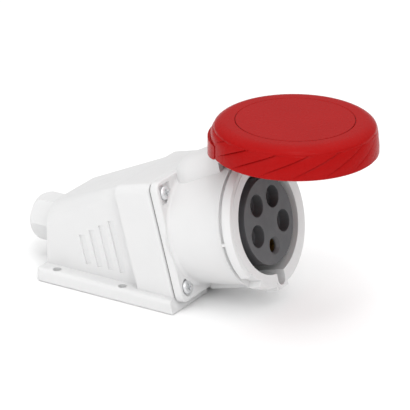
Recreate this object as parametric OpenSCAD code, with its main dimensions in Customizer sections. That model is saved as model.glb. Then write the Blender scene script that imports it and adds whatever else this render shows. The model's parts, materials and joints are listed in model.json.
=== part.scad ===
// Angled wall socket for five round pins, with a hinged lid that a bayonet ring locks.
// The mounting face is z = 0 and the origin is the centre of the four fixing holes.
// The socket looks along +X, tilted up by face_tilt.

/* [Mounting flange] */
// Distance between fixing holes along the box
fixing_dx = 48; // [40:1:56]
// Distance between fixing holes across the box
fixing_dy = 76; // [74:0.5:80]
// Diameter of a fixing hole
fixing_d = 5.4; // [4:0.1:6.5]
// Flange length behind the hole pattern's centre
flange_rear = 38; // [37:0.5:45]
// Flange length ahead of the hole pattern's centre
flange_front = 63; // [58:1:75]
// Width of the flange
flange_w = 85; // [84:1:95]
// Thickness of the flange
flange_t = 8.2; // [6:0.2:10]
// Radius of the flange's rear corners
flange_corner = 5; // [4:0.5:8]
// Rounding of the flange's upper edge
flange_edge = 3; // [1:0.5:3.5]
// Width of the drain notch under the front edge
drain_w = 5.4; // [3:0.2:8]
// Height of the drain notch
drain_h = 2.8; // [1.5:0.1:3.5]
// Depth of the drain notch, back from the face
drain_depth = 6; // [4:0.5:8]

/* [Back box] */
// Distance from the hole pattern's centre back to the box's rear wall
box_rear = 35; // [33:0.5:36]
// Width of the tapered box
box_w = 65.4; // [60:0.2:68]
// Height of the box at its rear wall
box_rear_h = 46.8; // [44:0.2:56]
// Rounding of the roof's edges at the rear wall
box_rear_round = 14; // [8:1:18]
// Rounding of the roof's edges at the frame
box_front_round = 6; // [4:0.5:9]
// Wall thickness of the box
wall = 3; // [2:0.25:3.5]
// Width of the frame behind the socket front
frame_w = 74.4; // [72:0.2:78]
// Height of the frame, measured up the tilted face
frame_top = 80.6; // [79:0.2:84]
// Depth of the frame, square to the face
frame_depth = 25.5; // [20:0.5:28]
// Rounding of the frame's edges
frame_round = 3; // [2:0.25:4]
// Radius of the frame's upper corners
frame_corner = 6; // [4:0.5:8]
// How far the roof stays below the frame's top
roof_drop = 0.6; // [0.4:0.1:2]
// Tilt of the face from the upright
face_tilt = 15; // [10:1:20]
// Width of the opening behind the socket front
opening_w = 63; // [61:0.5:65]
// Height of the opening behind the socket front
opening_h = 64; // [62:0.5:66]
// Diameter that trims the opening's corners, to leave the screw bosses
opening_d = 73; // [71:0.5:75]
// Number of louvre marks on each side
louvre_n = 4; // [2:1:5]
// Spacing of the louvre marks
louvre_pitch = 8.3; // [7:0.1:9]
// Width of one louvre mark
louvre_w = 4.2; // [3:0.1:5]
// Depth of a louvre mark at its deep edge
louvre_depth = 0.9; // [0.5:0.1:1.4]
// Length of the rearmost louvre mark
louvre_len = 19; // [14:0.5:22]
// Extra length of each next louvre mark
louvre_step = 4.8; // [3:0.1:6]
// Height of the louvre marks' lower ends
louvre_z = 13.7; // [11:0.1:18]
// Distance from the hole pattern's centre back to the rearmost louvre mark
louvre_x = 6; // [2:0.5:9]

/* [Socket front] */
// Compressed thickness of the gasket under the front
gasket_t = 0.9; // [0.5:0.1:1.5]
// How far the gasket stays inside the plate's edge
gasket_inset = 0.7; // [0.3:0.1:1.5]
// Width of the front plate
plate_w = 74.4; // [72:0.2:78]
// Height of the front plate
plate_h = 76.5; // [74:0.5:80]
// Thickness of the front plate
plate_t = 8; // [7:0.5:10]
// Corner radius of the front plate
plate_corner = 5.5; // [4:0.5:7]
// Rounding of the front plate's edge
plate_edge = 2; // [1:0.25:3]
// Height of the socket's axis, measured up the face
axis_s = 42.8; // [41:0.2:45]
// Length of the socket, from the frame to the ring face
barrel_len = 54.8; // [52:0.2:60]
// Barrel diameter at the plate
barrel_root_d = 72; // [71.6:0.2:74]
// Barrel diameter where the flare to the collar starts
barrel_waist_d = 74.6; // [74:0.2:76]
// Length of the flare behind the bayonet groove
flare_len = 19; // [14:0.5:24]
// Collar diameter
collar_d = 82; // [80:0.5:84]
// Length of the collar ahead of the bayonet groove
collar_len = 6.6; // [5:0.2:8]
// Width of the bayonet groove
groove_w = 2.2; // [2:0.1:3]
// Depth of the bayonet groove
groove_depth = 2.2; // [1.5:0.1:3]
// Width of the bridge that stops a lug, in degrees
bridge_angle = 2.4; // [1.5:0.1:4]
// Sweep of the groove beyond the bridge, in degrees
groove_sweep = 72; // [40:1:74]
// Rounding of the collar's front edge
collar_round = 1.2; // [0.6:0.1:2]
// Diameter of the sealing lip
lip_d = 76; // [74:0.5:78]
// How far the sealing lip stands ahead of the collar
lip_proud = 0.8; // [0.4:0.1:1.4]
// Diameter of the plug opening
opening_plug_d = 65; // [64:0.2:66]
// Depth of the plug recess
recess_depth = 42; // [38:1:44]
// Thickness of the recess floor
recess_floor = 6; // [4:0.5:7]
// Width of the keyway at six o'clock
keyway_w = 8; // [6:0.25:9]
// Distance from the axis to the keyway's round bottom
keyway_r = 40.5; // [39.5:0.25:41.5]
// Width of the rib under the barrel
rib_w = 12; // [11.6:0.2:14]
// Distance from the axis to the underside of the rib
rib_r = 39.7; // [39:0.1:40.5]
// Distance from the axis to the underside of the keyway block
block_r = 42.6; // [42.4:0.1:44]
// Length of the keyway block
block_len = 8.4; // [7:0.2:12]
// Width of the sealing lip round the keyway
keyway_lip = 1.7; // [1.2:0.1:1.8]

/* [Cover screws] */
// Distance between cover screws across the face
cover_dx = 58; // [57:0.5:60]
// Distance between cover screws up the face
cover_dy = 60; // [59:0.5:61]
// Head diameter of a cover screw
cover_head_d = 8.6; // [7:0.1:9]
// Head height of a cover screw
cover_head_h = 2.6; // [2:0.1:3]
// Thread diameter of a cover screw
cover_shank_d = 3.9; // [3:0.1:4.2]
// Plate thickness left under a screw head
cover_seat = 3; // [2:0.25:4]
// Length of the thread in the box
cover_grip = 10; // [7:0.5:14]
// Diameter of the counterbores round the lower screws
cover_bore_d = 11; // [10:0.25:11.5]
// Length of the pockets at the upper screws
pocket_len = 17; // [14:0.5:18]

/* [Contacts] */
// Diameter of the insert's core
insert_d = 53.2; // [52:0.2:54]
// How far the insert's face lies behind the ring face
insert_set_back = 0.2; // [0:0.1:1]
// Diameter of the insert's rear flange
insert_flange_d = 68; // [67:0.2:69]
// Thickness of the insert's rear flange
insert_flange_t = 3; // [2:0.25:4]
// Wall thickness inside the insert
insert_wall = 2.2; // [1.8:0.1:2.6]
// Thickness of the insert's face
insert_face_t = 10; // [9:0.5:12]
// Pitch circle diameter of the contacts
contact_pcd = 31; // [30:0.2:32]
// Diameter of a pin entry in the face
entry_d = 13.5; // [12:0.25:14]
// Depth of a pin entry
entry_depth = 7; // [5:0.5:9]
// Diameter of the earth entry in the face
earth_entry_d = 11; // [10.5:0.25:13]
// Depth of the earth entry's lead-in
earth_entry_depth = 1.8; // [1:0.2:3]
// Outside diameter of a phase sleeve
sleeve_d = 9.2; // [8.4:0.1:9.6]
// Pin bore of a phase sleeve
sleeve_bore_d = 6.1; // [5.5:0.1:6.4]
// Outside diameter of the earth sleeve
earth_sleeve_d = 10.2; // [9.8:0.1:10.6]
// Pin bore of the earth sleeve
earth_bore_d = 8.1; // [7.5:0.1:8.4]
// Distance from the insert's face to a phase sleeve
sleeve_set_back = 9; // [8:0.5:12]
// Distance from the insert's face to the earth sleeve
earth_set_back = 3; // [2.5:0.5:6]
// Depth of a sleeve's pin bore
pin_depth = 34; // [28:1:36]
// Diameter of a sleeve's collar
sleeve_collar_d = 12.6; // [12:0.1:13.4]
// Thickness of a sleeve's collar
sleeve_collar_t = 2; // [1.5:0.1:2.5]
// Diameter of a sleeve's terminal end
terminal_d = 10; // [9:0.1:10.6]
// Length of a sleeve's terminal end behind the carrier
terminal_len = 11; // [9:0.5:14]
// Wire bore of a terminal end
wire_bore_d = 5.4; // [4.5:0.1:6]
// Depth of the wire bore
wire_depth = 12; // [9:0.5:14]
// Diameter of a terminal screw
terminal_screw_d = 3.4; // [3:0.1:4]
// Length of a terminal screw
terminal_screw_len = 4.6; // [3.5:0.1:6]
// Diameter of the contact carrier
carrier_d = 60; // [56:0.5:61]
// Length of the contact carrier
carrier_len = 12; // [9:0.5:15]
// Thickness of the contact carrier's flange
carrier_flange_t = 3; // [2:0.25:4]
// Distance between the carrier's two screws
carrier_screw_dx = 62; // [61:0.25:62.5]
// Thread diameter of a carrier screw
carrier_screw_d = 2.6; // [2.2:0.1:2.9]
// Head diameter of a carrier screw
carrier_head_d = 5; // [4.4:0.1:5.4]
// Head height of a carrier screw
carrier_head_h = 1.8; // [1.4:0.1:2.4]
// Length of the carrier screws' thread in the recess floor
carrier_grip = 4; // [3:0.25:4.5]

/* [Lid] */
// Angle between the closed lid and the lid as it stands open
lid_open = 75; // [60:1:80]
// How far the hinge pin lies inside the locking ring's rim
hinge_inset = 2.9; // [2:0.1:4]
// Distance of the hinge pin behind the ring face
hinge_back = 18.4; // [18:0.2:20]
// Diameter of the hinge knuckles
knuckle_d = 11; // [10:0.2:11.2]
// Diameter of the hinge pin
pin_d = 4; // [3:0.1:4.5]
// Width of the lid's hinge knuckle
lid_knuckle_w = 15; // [12:0.5:18]
// Width of the hinge tower
tower_w = 28; // [26:0.5:34]
// Height of the hinge tower's rear edge above the front plate
tower_rear_h = 2; // [1:0.2:4]
// Length of the hinge tower's rear slope
tower_slope = 19; // [14:0.5:24]
// How far the upper end of that slope lies below the knuckles' top
tower_drop = 2.6; // [1.5:0.1:4]
// Height of the closed lid's top ahead of the ring face
lid_top = 9.6; // [9:0.2:11]
// Overall height of the locking ring
ring_h = 19.4; // [19:0.1:20]
// Outside diameter of the locking ring at its rim
ring_d = 99.8; // [99:0.2:102]
// How much narrower the locking ring is under its shoulder
ring_draw = 1.6; // [0.8:0.1:2.4]
// Thickness of the locking ring's skirt at its rim
ring_wall = 3.2; // [2.8:0.1:3.4]
// Rounding of the locking ring's shoulder
ring_shoulder = 6.2; // [4:0.2:7]
// Thickness of the locking ring's top
ring_top_t = 2.4; // [2:0.1:3]
// Diameter of the joint line on the lid's top
joint_line_d = 71; // [66:0.5:76]
// Width of the ledge that traps the locking ring
ring_ledge = 2.6; // [2:0.1:3.2]
// Thickness of the lid disc's top edge
disc_edge_t = 0.9; // [0.7:0.1:1.1]
// Thickness of the lid disc
disc_t = 2.5; // [2:0.1:3]
// Width of a bayonet lug, in degrees
lug_angle = 12; // [8:1:14]
// Thickness of a bayonet lug
lug_t = 1.6; // [1.4:0.1:1.8]
// Turn of the locking ring from open to locked, in degrees
ring_turn = 35; // [25:1:40]
// Angle from six o'clock to the lower lug's entry
lug_entry = 44; // [36:0.5:48]
// Thickness of the smooth saddle round the ring's rear
saddle_t = 1.9; // [1.4:0.1:2.4]
// Half of the saddle's sweep, in degrees
saddle_half = 61; // [45:1:70]
// How far the saddle's upper edge stays below the lid's top
saddle_drop = 5.6; // [4:0.2:8]
// Thickness of the saddle's floor under the ring
saddle_floor = 2; // [1.6:0.1:2.2]
// Thickness of the lid's hinge tongue
tongue_t = 4.4; // [3.5:0.1:4.8]
// Inside diameter of the lid seal
seal_bore_d = 63; // [60:0.5:64]
// Outside diameter of the lid seal
seal_d = 78; // [77:0.5:82]
// Thickness of the rim inside the lid seal
seal_rim_t = 1.6; // [1.2:0.1:2.4]

/* [Cable gland] */
// Height of the cable gland's axis above the mounting face
gland_z = 23.5; // [20:0.1:24]
// Thread diameter of the gland's inner stem
gland_stem_d = 24.6; // [22:0.2:25]
// Length of the gland's stem inside the box
gland_stem_len = 8; // [7:0.5:12]
// Width across the flats of the gland body's hexagon
gland_flats = 26; // [25:0.25:28]
// Length of the gland body's hexagon
gland_hex_len = 4.5; // [3:0.25:6]
// Diameter of the gland's outer stub
gland_stub_d = 23; // [21:0.2:23.4]
// Length of the gland's outer stub
gland_stub_len = 12; // [9:0.25:14]
// Bore of the gland body
gland_bore_d = 18.4; // [17:0.2:19]
// Width across the flats of the dome nut
nut_flats = 26.8; // [26:0.2:30]
// Length of the dome nut
nut_len = 22.5; // [20:0.25:25]
// Mouth diameter of the dome nut
nut_mouth_d = 16.4; // [15:0.2:17]
// Wall at the mouth of the dome nut
nut_mouth_t = 3; // [2:0.25:4]
// Rounding of the dome nut's end
nut_dome = 8; // [5:0.25:9]
// Bore of the cable seal
cable_d = 14.4; // [10:0.2:15]
// Thickness of the washer under the gland
gland_washer_t = 1; // [0.6:0.1:1.5]
// Thickness of the gland's lock nut
locknut_t = 5; // [4:0.25:6]
// Width across the flats of the gland's lock nut
locknut_flats = 30; // [28:0.5:34]

/* [Clearances] */
// Gap between bodies that move past each other
run_gap = 0.3; // [0.25:0.05:0.5]
// Radial clearance of a pin, screw or sleeve in its hole
fit_gap = 0.1; // [0.05:0.01:0.15]
// Radial running clearance of the lid on its pin
pin_gap = 0.06; // [0.03:0.01:0.1]
// Room round a bayonet lug in its entry, in degrees
entry_room = 2.6; // [2:0.1:3]

/* [Hidden] */
$fn = 96;

// Facets of the rounded corners inside a hull
hull_fn = 32;
// Thickness of the slabs that a loft runs between
slab = 2;
// Reach of a cut past the surface that it opens
past = 1;
// Angle between points on the rounded shoulder of the locking ring
shoulder_step = 7.5;
// Angle between points on the flare behind the collar
flare_step = 15;
// Angle between points on the dome nut's rounded end
dome_step = 10;
// Reach of a cut that removes everything on one side
far = 200;

// Colours
white_plastic = [0.93, 0.93, 0.93];
red_plastic = [0.70, 0.13, 0.12];
grey_plastic = [0.31, 0.31, 0.33];
rubber_grey = [0.45, 0.45, 0.45];
steel = [0.75, 0.75, 0.77];
brass = [0.78, 0.65, 0.35];

// Contact positions round the axis, from six o'clock: earth, neutral and the three phases
contact_step = 72;

// Places along the socket's axis, measured from the frame's face
plate_front = gasket_t + plate_t;
collar_end = barrel_len - lip_proud;
groove_front = barrel_len - collar_len;
groove_rear = groove_front - groove_w;
groove_r = collar_d / 2 - groove_depth;
recess_end = barrel_len - recess_depth;
floor_rear = recess_end - recess_floor;
insert_rear = floor_rear - insert_flange_t;
carrier_rear = insert_rear - carrier_len;
insert_face = barrel_len - insert_set_back;
head_seat = gasket_t + cover_seat;
insert_socket_d = insert_flange_d + 2 * run_gap;
carrier_seat = insert_rear - carrier_flange_t;

// Diameters of the locking ring under its shoulder and inside its skirt
ring_top_d = ring_d - ring_draw;
ring_bore_d = ring_d - 2 * ring_wall;

// The hinge pin's distance from the axis, its place on the face and in the box's frame
hinge_p = ring_d / 2 - hinge_inset;
hinge_x = barrel_len - hinge_back;
hinge_s = axis_s + hinge_p;
hinge_world = [
    flange_front + hinge_x * cos(face_tilt) - hinge_s * sin(face_tilt),
    0,
    hinge_x * sin(face_tilt) + hinge_s * cos(face_tilt)
];

// Heights in the closed lid, measured ahead of the ring face
ring_rim = lid_top - ring_h;
ring_under = lid_top - ring_top_t;
disc_top = ring_under - run_gap;
disc_under = disc_top - disc_t;
ledge_top = lid_top - disc_edge_t - run_gap;
ring_inner_r = joint_line_d / 2 - ring_ledge;
seal_face = run_gap;
lug_centre = -collar_len - groove_w / 2;
lug_r = groove_r + run_gap;
saddle_r = ring_d / 2 + run_gap;
saddle_top = lid_top - saddle_drop;
saddle_under = ring_rim - run_gap - saddle_floor;
tongue_r = ring_bore_d / 2 - run_gap;
disc_r = ring_bore_d / 2 - 2 * run_gap;
hinge_gap_w = lid_knuckle_w + 2 * run_gap;

// Places along the gland, measured back from the rear wall
hex_end = gland_washer_t + gland_hex_len;
stub_end = hex_end + gland_stub_len;
nut_start = hex_end + run_gap;
nut_end = nut_start + nut_len;
nut_shoulder = nut_end - nut_mouth_t;

// Puts children on the tilted face: X out of the face, Z up the face
module on_face() {
    translate([flange_front, 0, 0]) rotate([0, -face_tilt, 0]) children();
}

// Puts children on the socket's axis: Z out of the face, X towards six o'clock
module on_axis() {
    on_face() translate([0, 0, axis_s]) rotate([0, 90, 0]) children();
}

// Puts children in the open lid: Z along the lid's axis from the ring face, X towards six o'clock
module in_lid() {
    translate(hinge_world) rotate([0, -lid_open, 0]) translate(-hinge_world)
        on_axis() translate([0, 0, barrel_len]) children();
}

// Puts children on the gland's axis: Z away from the box
module on_gland() {
    translate([-box_rear, 0, gland_z]) rotate([0, -90, 0]) children();
}

// Puts a copy of the children at each corner of a rectangle
module at_corners(dx, dy) {
    for (x = [-dx / 2, dx / 2], y = [-dy / 2, dy / 2]) translate([x, y, 0]) children();
}

// Rectangle with rounded corners, centred
module rounded_rect(w, h, r) {
    square([w - 2 * r, h], center = true);
    square([w, h - 2 * r], center = true);
    at_corners(w - 2 * r, h - 2 * r) circle(r);
}

// Arch outline: upright sides and a top with rounded corners
module arch(w, low, high, r) {
    translate([-w / 2, low]) square([w, high - r - low]);
    translate([-w / 2 + r, low]) square([w - 2 * r, high - low]);
    for (x = [r - w / 2, w / 2 - r]) translate([x, high - r]) circle(r);
}

// Plate with rounded corners and a rounded upper edge
module soft_plate(w, h, t, corner, edge) {
    intersection() {
        linear_extrude(t) rounded_rect(w, h, corner);
        rotate([90, 0, 90]) linear_extrude(w + 2 * past, center = true) arch(h, -past, t, edge);
        rotate([90, 0, 0]) linear_extrude(h + 2 * past, center = true) arch(w, -past, t, edge);
    }
}

// Hexagon bar along Z, given by its width across the flats, with flats towards X
module hex_bar(flats, h) {
    rotate([0, 0, 30]) cylinder(d = flats / cos(30), h = h, $fn = 6);
}

// Sector of a ring about Z, centred on an angle
module ring_sector(r1, r2, z1, z2, middle, half) {
    rotate([0, 0, middle - half]) rotate_extrude(angle = 2 * half)
        translate([r1, z1]) square([r2 - r1, z2 - z1]);
}

// Cross-recess screw along -Z, with the underside of its head at z = 0
module cross_screw(head_d, head_h, shank_d, len) {
    recess_w = head_d / 7;
    recess_len = head_d * 0.55;
    recess_depth = head_h * 0.5;
    difference() {
        union() {
            cylinder(d = head_d, h = head_h * 0.6);
            translate([0, 0, head_h * 0.6]) cylinder(d1 = head_d, d2 = head_d * 0.72, h = head_h * 0.4);
            translate([0, 0, -len]) cylinder(d = shank_d, h = len);
        }
        for (a = [0, 90]) rotate([0, 0, a])
            translate([-recess_len / 2, -recess_w / 2, head_h - recess_depth])
                cube([recess_len, recess_w, head_h]);
    }
}

// Tapered box between the rear wall and the frame, drawn in from its outside by the inset
module tapered_box(inset, low, front) {
    face_low = (low + frame_depth * sin(face_tilt)) / cos(face_tilt);
    $fn = hull_fn;
    hull() {
        translate([inset - box_rear, 0, 0]) rotate([90, 0, 90]) linear_extrude(slab)
            arch(box_w - 2 * inset, low, box_rear_h - inset, box_rear_round - inset);
        on_face() translate([front - frame_depth, 0, 0]) rotate([90, 0, 90]) linear_extrude(slab)
            arch(box_w - 2 * inset, face_low, frame_top - roof_drop - inset, box_front_round - inset / 2);
    }
}

// Frame behind the socket front, with rounded edges, run on below the mounting face
module frame_block() {
    low = -frame_depth;
    on_face() intersection() {
        translate([-frame_depth, 0, 0]) rotate([90, 0, 90]) linear_extrude(frame_depth)
            arch(frame_w, low, frame_top, frame_corner);
        translate([0, 0, low]) linear_extrude(frame_top - low) rotate([0, 0, -90])
            arch(frame_w, -frame_depth - past, 0, frame_round);
        rotate([90, 0, 0]) linear_extrude(frame_w + 2 * past, center = true) {
            translate([-frame_depth - past, low - past]) square([frame_depth + past, frame_top - frame_round - low + past]);
            translate([-frame_depth - past, low]) square([frame_depth + past - frame_round, frame_top - low]);
            translate([-frame_round, frame_top - frame_round]) circle(frame_round);
        }
    }
}

// Louvre mark on the box's side: deep at its rear edge and running out to the front
module louvre(len) {
    slope = atan(louvre_depth / louvre_w);
    rotate([0, -face_tilt, 0]) rotate([0, 0, -slope])
        translate([0, -louvre_w, 0]) cube([louvre_w / cos(slope) + past, louvre_w, len]);
}

module back_box() {
    flange_len = flange_rear + flange_front;
    color(white_plastic) difference() {
        union() {
            // Flange, run on ahead of the tilted face and cut back to it
            difference() {
                translate([(flange_front - flange_rear) / 2 + flange_corner, 0, 0])
                    soft_plate(flange_len + 2 * flange_corner, flange_w, flange_t, flange_corner, flange_edge);
                on_face() translate([0, -far / 2, -far / 2]) cube(far);
            }
            tapered_box(0, flange_t / 2, slab);
            frame_block();
        }
        // Everything below the mounting face
        translate([-far, -far, -2 * far]) cube(2 * far);
        // Room inside, open through the frame
        tapered_box(wall, wall, 2 * slab);
        on_axis() intersection() {
            translate([0, 0, -frame_depth - past]) linear_extrude(frame_depth + 2 * past)
                rounded_rect(opening_h, opening_w, frame_round);
            translate([0, 0, -frame_depth - past]) cylinder(d = opening_d, h = frame_depth + 2 * past);
        }
        at_corners(fixing_dx, fixing_dy) translate([0, 0, -past]) cylinder(d = fixing_d, h = flange_t + 2 * past);
        on_axis() at_corners(cover_dy, cover_dx)
            translate([0, 0, -cover_grip - past]) cylinder(d = cover_shank_d + 2 * fit_gap, h = cover_grip + 2 * past);
        on_gland() translate([0, 0, -wall - past]) cylinder(d = gland_stem_d + 2 * fit_gap, h = wall + 2 * past);
        // Room for the heads of the carrier's screws
        on_axis() for (y = [-1, 1])
            translate([0, y * carrier_screw_dx / 2, carrier_seat - carrier_head_h - run_gap])
                cylinder(d = carrier_head_d + 2 * run_gap, h = carrier_head_h + run_gap + past);
        translate([flange_front - drain_depth, -drain_w / 2, -past])
            cube([drain_depth + past, drain_w, drain_h + past]);
        for (side = [0, 1], i = [0 : louvre_n - 1]) mirror([0, side, 0])
            translate([i * louvre_pitch - louvre_x, louvre_depth - box_w / 2, louvre_z])
                louvre(louvre_len + i * louvre_step);
    }
}

module front_gasket() {
    color(rubber_grey) on_axis() linear_extrude(gasket_t) difference() {
        rounded_rect(plate_h - 2 * gasket_inset, plate_w - 2 * gasket_inset, plate_corner - gasket_inset);
        circle(d = insert_socket_d);
        at_corners(cover_dy, cover_dx) circle(d = cover_shank_d + 2 * run_gap);
    }
}

// Outline of the hinge tower in the plane of the face's X and Z
module tower_outline() {
    foot = gasket_t + past / 2;
    crown = hinge_s + knuckle_d / 2;
    polygon([
        [foot, axis_s],
        [foot, axis_s + plate_h / 2 + tower_rear_h],
        [foot + tower_slope, crown - tower_drop],
        [(foot + tower_slope + hinge_x) / 2, crown - tower_drop / 3],
        [hinge_x, crown - run_gap],
        [hinge_x, axis_s]
    ]);
}

// Outside of the barrel as a turned profile: radius and distance from the frame
module barrel_outside() {
    c = collar_d / 2;
    flare = c - barrel_waist_d / 2;
    rotate_extrude() polygon(concat(
        [[0, gasket_t], [barrel_root_d / 2, gasket_t], [barrel_root_d / 2, plate_front - past]],
        [for (a = [0 : flare_step : 90]) [c - flare * cos(a), groove_rear - flare_len * (1 - sin(a))]],
        [
            [c, collar_end - collar_round],
            [c - collar_round * (1 - cos(45)), collar_end - collar_round * (1 - sin(45))],
            [c - collar_round, collar_end],
            [lip_d / 2, collar_end],
            [lip_d / 2, barrel_len],
            [0, barrel_len]
        ]
    ));
}

module socket_front() {
    entry_half = lug_angle / 2 + entry_room;
    key_centre = keyway_r - keyway_w / 2;
    key_lip_r = keyway_w / 2 + keyway_lip;
    groove_half = (ring_turn + entry_half) / 2;
    color(white_plastic) difference() {
        union() {
            difference() {
                on_axis() translate([0, 0, gasket_t])
                    soft_plate(plate_h, plate_w, plate_t, plate_corner, plate_edge);
                // Pockets at the upper screws and counterbores at the lower ones
                on_axis() for (y = [-1, 1]) {
                    translate([-cover_dy / 2 - cover_bore_d / 2, y * cover_dx / 2 - cover_bore_d / 2, head_seat])
                        cube([pocket_len, cover_bore_d, plate_t]);
                    translate([cover_dy / 2, y * cover_dx / 2, head_seat]) cylinder(d = cover_bore_d, h = plate_t);
                }
            }
            on_axis() barrel_outside();
            // Rib and keyway block under the barrel
            on_axis() translate([0, -rib_w / 2, gasket_t]) cube([rib_r, rib_w, collar_end - collar_round - gasket_t]);
            on_axis() translate([0, -rib_w / 2, collar_end - block_len]) cube([block_r, rib_w, block_len]);
            on_axis() translate([key_centre, 0, collar_end - past]) cylinder(r = key_lip_r, h = lip_proud + past);
            // Hinge tower and its knuckles
            on_face() rotate([90, 0, 0]) linear_extrude(tower_w, center = true) tower_outline();
            on_face() translate([hinge_x, 0, hinge_s]) rotate([90, 0, 0])
                cylinder(d = knuckle_d, h = tower_w, center = true);
        }
        // Screw holes
        on_axis() at_corners(cover_dy, cover_dx)
            cylinder(d = cover_shank_d + 2 * run_gap, h = plate_front + past);
        // Plug recess, the insert's hole and its seat
        on_axis() translate([0, 0, recess_end]) cylinder(d = opening_plug_d, h = recess_depth + past);
        on_axis() cylinder(d = insert_d + 2 * run_gap, h = barrel_len);
        on_axis() translate([0, 0, gasket_t - past]) cylinder(d = insert_socket_d, h = floor_rear - gasket_t + past);
        on_axis() for (y = [-1, 1]) translate([0, y * carrier_screw_dx / 2, floor_rear - past])
            cylinder(d = carrier_screw_d + 2 * fit_gap, h = carrier_grip + past);
        // Keyway with a round bottom
        on_axis() translate([0, 0, recess_end]) linear_extrude(recess_depth + past) {
            translate([0, -keyway_w / 2]) square([key_centre, keyway_w]);
            translate([key_centre, 0]) circle(d = keyway_w);
        }
        // Bayonet groove on both flanks, with the lug entries through the collar
        on_axis() for (turn = [0, 180]) rotate([0, 0, turn]) {
            ring_sector(groove_r, collar_d, groove_rear, groove_front, -lug_entry - groove_half, groove_half);
            ring_sector(groove_r, collar_d, groove_rear, groove_front,
                -lug_entry - ring_turn - entry_half - bridge_angle - groove_sweep / 2, groove_sweep / 2);
            ring_sector(lip_d / 2 - lip_proud, collar_d, groove_rear, barrel_len + past, -lug_entry, entry_half);
        }
        // Room for the lid's knuckle between the two outer ones
        on_face() translate([hinge_x, 0, hinge_s]) rotate([90, 0, 0]) {
            cylinder(d = knuckle_d + 2 * run_gap, h = hinge_gap_w, center = true);
            cylinder(d = pin_d + 2 * fit_gap / 5, h = tower_w + 2 * past, center = true);
        }
    }
}

module cover_screws() {
    color(steel) on_axis() at_corners(cover_dy, cover_dx)
        translate([0, 0, head_seat]) cross_screw(cover_head_d, cover_head_h, cover_shank_d, cover_grip + head_seat);
}

// Puts children at one contact's place, counted from the earth at six o'clock
module at_contact(i) {
    on_axis() rotate([0, 0, i * contact_step]) translate([contact_pcd / 2, 0, 0]) children();
}

module contact_insert() {
    tube_d = max(sleeve_d, earth_sleeve_d) + 2 * fit_gap + 2 * insert_wall;
    color(grey_plastic) difference() {
        union() {
            on_axis() difference() {
                union() {
                    translate([0, 0, floor_rear]) cylinder(d = insert_d, h = insert_face - floor_rear);
                    translate([0, 0, insert_rear]) cylinder(d = insert_flange_d, h = insert_flange_t);
                }
                translate([0, 0, insert_rear - past])
                    cylinder(d = insert_d - 2 * insert_wall, h = insert_face - insert_face_t - insert_rear + past);
            }
            for (i = [0 : 4]) at_contact(i)
                translate([0, 0, insert_rear]) cylinder(d = tube_d, h = insert_face - insert_face_t / 2 - insert_rear);
        }
        for (i = [1 : 4]) at_contact(i) {
            translate([0, 0, insert_face - entry_depth]) cylinder(d = entry_d, h = entry_depth + past);
            translate([0, 0, insert_rear - past]) cylinder(d = sleeve_d + 2 * fit_gap, h = insert_face - insert_rear);
        }
        at_contact(0) {
            translate([0, 0, insert_face - earth_entry_depth])
                cylinder(d1 = earth_bore_d, d2 = earth_entry_d, h = earth_entry_depth);
            translate([0, 0, insert_face - earth_set_back]) cylinder(d = earth_bore_d, h = earth_set_back);
            translate([0, 0, insert_rear - past])
                cylinder(d = earth_sleeve_d + 2 * fit_gap, h = insert_face - earth_set_back - insert_rear + past);
        }
        on_axis() for (y = [-1, 1]) translate([0, y * carrier_screw_dx / 2, insert_rear - past])
            cylinder(d = carrier_screw_d + 2 * run_gap, h = insert_flange_t + 2 * past);
    }
}

module contact_carrier() {
    color(grey_plastic) difference() {
        on_axis() {
            translate([0, 0, carrier_rear]) cylinder(d = carrier_d, h = carrier_len);
            translate([0, 0, carrier_seat]) cylinder(d = insert_flange_d, h = carrier_flange_t);
        }
        for (i = [0 : 4]) at_contact(i) {
            translate([0, 0, carrier_rear - past]) cylinder(d = terminal_d + 2 * fit_gap, h = carrier_len + 2 * past);
            translate([0, 0, insert_rear - sleeve_collar_t])
                cylinder(d = sleeve_collar_d + 2 * fit_gap, h = sleeve_collar_t + past);
        }
        // Screw holes, with room for the heads beside the carrier's round body
        on_axis() for (y = [-1, 1]) translate([0, y * carrier_screw_dx / 2, carrier_rear - past]) {
            cylinder(d = carrier_screw_d + 2 * run_gap, h = carrier_len + 2 * past);
            cylinder(d = carrier_head_d + 2 * run_gap, h = carrier_len - carrier_flange_t + past);
        }
    }
}

// Turned contact sleeve at one place, with a clamp screw hole in its terminal end
module sleeve(i, d, bore_d, set_back) {
    front = insert_face - set_back;
    rear = carrier_rear - terminal_len;
    color(brass) at_contact(i) difference() {
        union() {
            translate([0, 0, insert_rear]) cylinder(d = d, h = front - insert_rear);
            translate([0, 0, insert_rear - sleeve_collar_t]) cylinder(d = sleeve_collar_d, h = sleeve_collar_t);
            translate([0, 0, rear]) cylinder(d = terminal_d, h = insert_rear - rear);
        }
        translate([0, 0, front - pin_depth]) cylinder(d = bore_d, h = pin_depth + past);
        translate([0, 0, rear - past]) cylinder(d = wire_bore_d, h = wire_depth + past);
        translate([0, 0, rear + terminal_len / 2]) rotate([0, 90, 0])
            cylinder(d = terminal_screw_d + 2 * fit_gap, h = terminal_d);
    }
}

module sleeve_earth() { sleeve(0, earth_sleeve_d, earth_bore_d, earth_set_back); }
module sleeve_neutral() { sleeve(1, sleeve_d, sleeve_bore_d, sleeve_set_back); }
module sleeve_l1() { sleeve(2, sleeve_d, sleeve_bore_d, sleeve_set_back); }
module sleeve_l2() { sleeve(3, sleeve_d, sleeve_bore_d, sleeve_set_back); }
module sleeve_l3() { sleeve(4, sleeve_d, sleeve_bore_d, sleeve_set_back); }

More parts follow.
